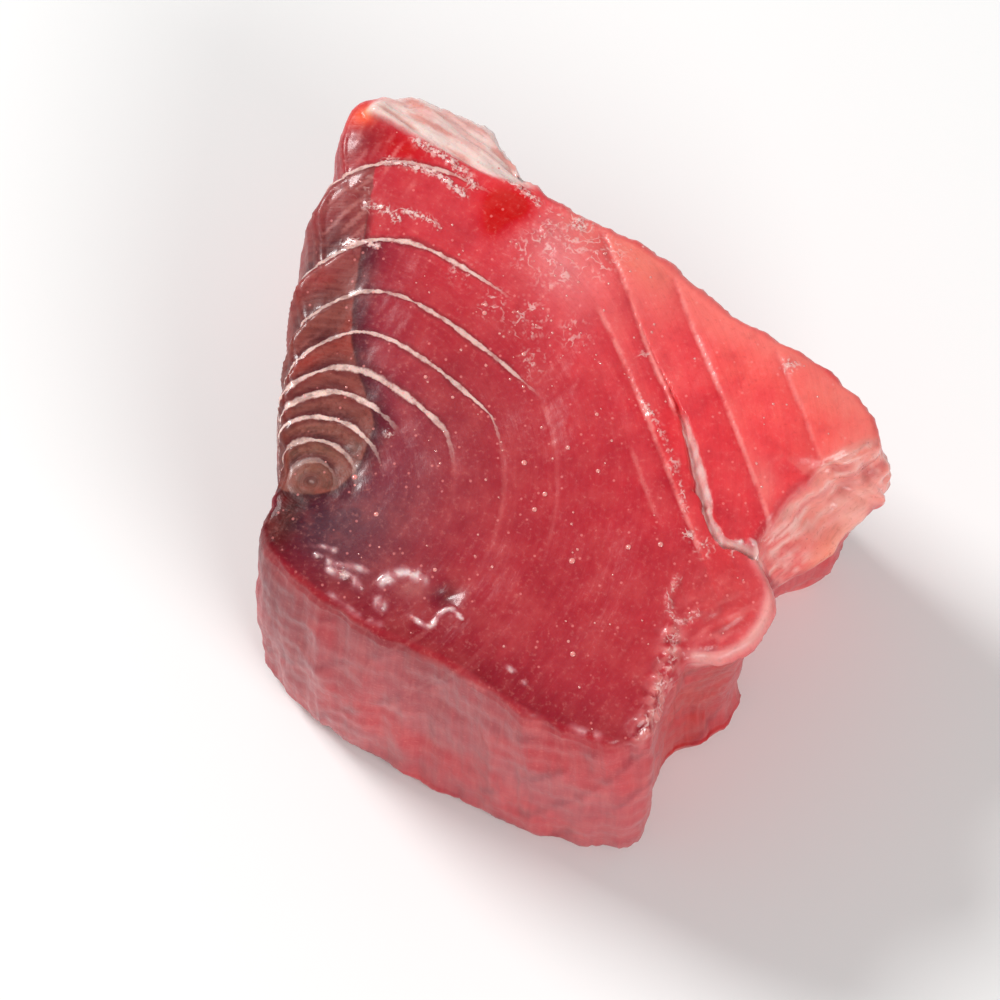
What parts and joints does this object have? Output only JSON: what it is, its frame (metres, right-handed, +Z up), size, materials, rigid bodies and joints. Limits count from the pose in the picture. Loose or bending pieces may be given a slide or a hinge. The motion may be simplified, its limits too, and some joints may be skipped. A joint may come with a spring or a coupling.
{
  "type": "raw blackfin tuna loin",
  "caption": "Hand-cut chunk of raw tuna loin: a sloping cut face with an open crack and a torn ledge, a scaly skin side, and a flat base it lies on.",
  "frame": {"origin": "middle of the flat base, under the middle of the chunk's bounding box", "axes": "+X along the chunk's long side, from the skin side with the dark muscle towards the plain side with the torn ledge; +Y towards the corner with the membrane; +Z up, out of the upper cut face"},
  "size_m": [0.0626, 0.0508, 0.034],
  "materials": {
    "flesh": "wet raw fish flesh, glossy, slightly translucent"
  },
  "bodies": {
    "root": {"tuna_chunk": "flesh"}
  },
  "joints": []
}
